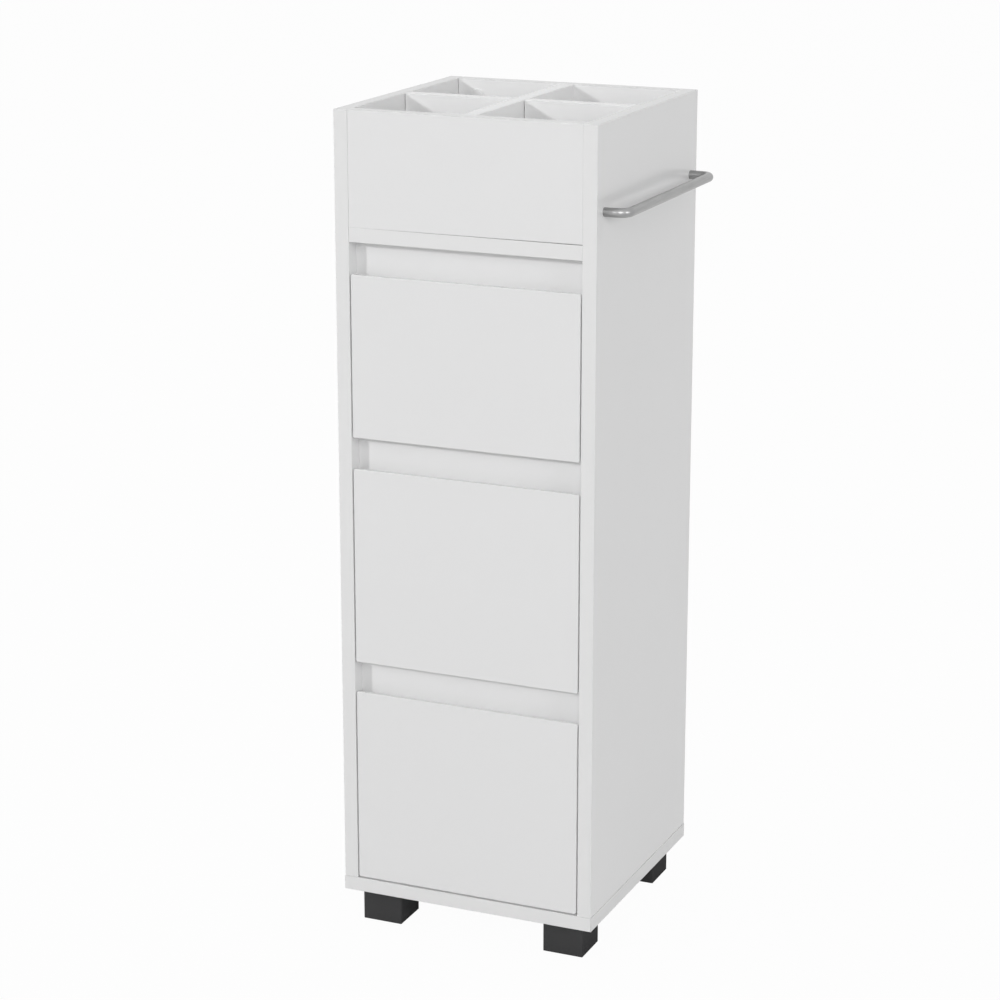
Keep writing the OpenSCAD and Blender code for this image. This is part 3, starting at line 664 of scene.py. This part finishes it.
bpy.ops.object.select_all(action="DESELECT")
bpy.ops.mesh.primitive_circle_add(
    vertices=BAR_SIDES,
    radius=BAR / 2,
    location=(wall, near, height),
    rotation=(0, math.pi / 2, 0),
    fill_type="NGON",
)
rail = bpy.context.active_object
rail.name = rail.data.name = "towel_rail_bar"
settle(rail)


def pull(offset):
    """Pulls the end of the bar straight on."""
    bpy.ops.mesh.extrude_region_move(TRANSFORM_OT_translate={"value": offset})


def bend(centre):
    """Turns the end of the bar a quarter round a centre."""
    bpy.ops.mesh.spin(steps=BEND_STEPS, angle=-math.pi / 2, center=centre, axis=(0, 0, 1))


only(rail)
bpy.ops.object.mode_set(mode="EDIT")
bpy.ops.mesh.select_mode(type="FACE")
bpy.ops.mesh.select_all(action="SELECT")
pull((out - BEND - wall, 0, 0))
bend((out - BEND, near + BEND, height))
pull((0, far - near - 2 * BEND, 0))
bend((out - BEND, far - BEND, height))
pull((wall - out + BEND, 0, 0))
bpy.ops.mesh.select_all(action="SELECT")
bpy.ops.mesh.remove_doubles(threshold=JOIN)
bpy.ops.mesh.normals_make_consistent(inside=False)
bpy.ops.object.mode_set(mode="OBJECT")
bpy.ops.object.shade_smooth_by_angle(angle=SMOOTH_BAR)
steel.dress(rail)
stand_for(rail, "towel_rail", "carcass")
print("towel rail", [round(s / MM, 1) for s in rail.dimensions], "mm")
print("its CAD node", [round(s / MM, 1) for s in high - low], "mm")

# %% [markdown]
# ## Fittings
# Runners, rollers, cams, screws and dowels keep their CAD shapes, which are exact already. They
# only need their finishes: white baked paint on the runners, nylon for the rollers, zinc for the
# cams, bolts and screws, white plastic for the caps and beech for the dowels.

# %% Finishes of the fittings
runner_paint = Finish("white_baked_paint", IOR=1.5)
runner_paint.feed(
    Base_Color=runner_paint.blend((0.74, 0.74, 0.73), (0.78, 0.78, 0.77), runner_paint.noise(10 * MM)),
    Roughness=0.3 + 0.1 * runner_paint.noise(3 * MM),
    Normal=runner_paint.bump(runner_paint.noise(1.2 * MM), 0.03 * MM),
)
nylon = Finish("nylon", IOR=1.53)
nylon.feed(
    Base_Color=nylon.blend((0.72, 0.71, 0.66), (0.77, 0.76, 0.71), nylon.noise(4 * MM)),
    Roughness=0.33 + 0.1 * nylon.noise(2 * MM),
    Normal=nylon.bump(nylon.noise(0.4 * MM), 0.01 * MM),
)
zinc = Finish("cast_zinc", Metallic=1.0)
zinc.feed(
    Base_Color=zinc.blend((0.5, 0.5, 0.5), (0.62, 0.62, 0.61), zinc.noise(2 * MM)),
    Roughness=0.32 + 0.16 * zinc.noise(1 * MM),
    Normal=zinc.bump(zinc.noise(0.5 * MM), 0.03 * MM),
)
cap_plastic = Finish("white_cap_plastic", IOR=1.5)
cap_plastic.feed(
    Base_Color=cap_plastic.blend((0.89, 0.89, 0.89), (0.92, 0.92, 0.92), cap_plastic.noise(10 * MM)),
    Roughness=0.28 + 0.08 * cap_plastic.noise(3 * MM),
    Normal=cap_plastic.bump(cap_plastic.noise(0.6 * MM), 0.008 * MM),
)
beech = Finish("beech", IOR=1.45)
grain = beech.noise(1.2 * MM, detail=4, stretch=(0.15, 1, 1))
beech.feed(
    Base_Color=beech.blend((0.42, 0.26, 0.14), (0.56, 0.38, 0.22), grain),
    Roughness=0.55 + 0.15 * grain,
    Normal=beech.bump(grain, 0.04 * MM),
)
print("made", [finish.material.name for finish in (runner_paint, nylon, zinc, cap_plastic, beech)])

# %% Give the fittings their finishes
FITTINGS = {
    "runners": runner_paint,
    "rollers": nylon,
    "screws": zinc,
    "cams": zinc,
    "cam_locks": zinc,
    "cam_bolts": zinc,
    "cam_caps": cap_plastic,
    "dowels": beech,
}
for name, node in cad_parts.items():
    if node.hide_render:
        continue
    kind = next(finish for word, finish in FITTINGS.items() if word in name)
    node.data.materials.clear()
    kind.dress(node)
print("finished", sum(not node.hide_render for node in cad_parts.values()), "CAD nodes")

# %% [markdown]
# ## Stage
# The photograph is a plain studio shot: the tower alone on pure white, softly lit, with hardly a
# shadow on the ground. The floor is a big pale plane. For the camera it is mixed with a white glow
# of strength 1, so that it reads as the white ground and still shows the tower's soft shadow.
# Light Path tells the shader which rays come from the camera. Rays that bounce off glossy things
# see the same white, so metal reflects what the picture shows. No more light falls on the object.

# %% Floor
FLOOR = 30.0
GLOW_SHARE = 0.97

bpy.ops.object.select_all(action="DESELECT")
bpy.ops.mesh.primitive_plane_add(size=FLOOR, location=(0, 0, 0))
floor = bpy.context.active_object
floor.name = "floor"
ground = Finish("pale_ground", Roughness=0.9)
ground.feed(Base_Color=ground.blend((0.57, 0.57, 0.57), (0.59, 0.59, 0.59), ground.noise(500 * MM)))
glow = ground.add("ShaderNodeEmission", None, {"Color": (1, 1, 1, 1), "Strength": 1.0})


def looked_at(graph):
    """1 for a ray from the camera, off gloss or through glass, and 0 for light on its way."""
    ray = graph.add("ShaderNodeLightPath")
    bounced = graph.math("MAXIMUM", ray.beside("Is Glossy Ray"), ray.beside("Is Transmission Ray"))
    return graph.math("MAXIMUM", ray.beside("Is Camera Ray"), bounced)


mixed = ground.add(
    "ShaderNodeMixShader",
    None,
    {0: GLOW_SHARE * looked_at(ground), 1: Line(ground, ground.shader.outputs[0]), 2: glow},
)
ground.join(mixed, ground.tree.nodes["Material Output"].inputs["Surface"])
ground.dress(floor)
print("floor", FLOOR, "m wide")

# %% [markdown]
# The world is white for the same rays. The light that it really sheds on the tower is far less in
# front, where the lamps do the work, and grows towards the back. For the world, the Texture
# Coordinate node gives the direction of a ray, and its Y part is all that this needs. The square
# root makes the light grow fast at first, so that most of the back half is bright.

# %% World
AMBIENT = 0.08
BEHIND = 1.0
world = bpy.data.worlds.new("studio")
bpy.context.scene.world = world
world.use_nodes = True
sky = Graph(world.node_tree)
towards = sky.add("ShaderNodeSeparateXYZ", None, {0: sky.add("ShaderNodeTexCoord")})
backwards = sky.math("MAXIMUM", towards.beside("Y"), 0.0)
shed = AMBIENT + (BEHIND - AMBIENT) * sky.math("SQRT", backwards)
background = sky.tree.nodes["Background"]
sky.join(sky.math("MAXIMUM", looked_at(sky), shed), background.inputs["Strength"])
sky.join((1, 1, 1, 1), background.inputs["Color"])
print("the world sheds", AMBIENT, "in front and", BEHIND, "from behind")

# %% [markdown]
# ## Lamps
# The photograph tells where the lamps stood. The crisp shadow beside each finger gap and in the
# tray comes from a fairly small key light, 36 degrees to the left of the fronts and 20 degrees up.
# The shadows are light grey, so broad lamps fill in. Of the two beside the camera, the low one
# reaches under the shelf and the fronts, and the high one reaches into the tray. One to the right
# makes the right side panel nearly as bright as the fronts and lights the left cheek of each finger
# gap, and one stands high on the left. All are far off, so that the light hardly falls from top to
# bottom. The light of the world does the back. They are set so that a colour renders about as it is
# written.


# %% Lamps
AIM = Vector((0, 0, 450 * MM))
LAMP_DISTANCE = 12.0


def lamp(name, azimuth, elevation, size, power):
    """A square lamp, size metres wide, that looks at the tower. Azimuth 0 is in front, 90 right."""
    aside, up = math.radians(azimuth), math.radians(elevation)
    back = Vector((math.sin(aside) * math.cos(up), -math.cos(aside) * math.cos(up), math.sin(up)))
    turn = back.to_track_quat("Z", "Y").to_euler()
    bpy.ops.object.light_add(type="AREA", location=AIM + back * LAMP_DISTANCE, rotation=turn)
    light = bpy.context.active_object
    light.name = name
    light.data.size = size
    light.data.energy = power
    print(name, "at", azimuth, "and", elevation, "degrees,", power, "W")


lamp("key", -36, 20, size=0.8, power=380)
lamp("beside_camera_high", 20, 28, size=6.0, power=252)
lamp("beside_camera_low", 20, 14, size=4.0, power=172)
lamp("right", 70, 16, size=4.0, power=292)
lamp("left", -75, 35, size=5.0, power=320)

# %% [markdown]
# ## Camera
# The camera stands about three metres off, to the right of the tower and above it, with a long lens.
# The photograph was straightened, as catalogue pictures are: its upright edges are parallel. A
# shifted lens could do the same here, but the shift would push the tower out of every other view, so
# the camera tilts down instead, from the place where the picture fits best. The focal length is
# written in pixels of the picture, as it was fitted, and turned into millimetres.

# %% Camera
PICTURE = 1000
FOCAL_PIXELS = 2798.4
SENSOR = 36
PLACE = (1.1718, -2.7835, 1.334)
YAW, PITCH = math.radians(23.5), math.radians(-15.8)
bpy.ops.object.camera_add(location=PLACE, rotation=(math.pi / 2 + PITCH, 0, YAW))
camera = bpy.context.active_object
camera.data.sensor_width = SENSOR
camera.data.lens = FOCAL_PIXELS / PICTURE * SENSOR
bpy.context.scene.camera = camera
bpy.context.scene.view_settings.view_transform = "Standard"
print("lens", round(camera.data.lens, 1), "mm")
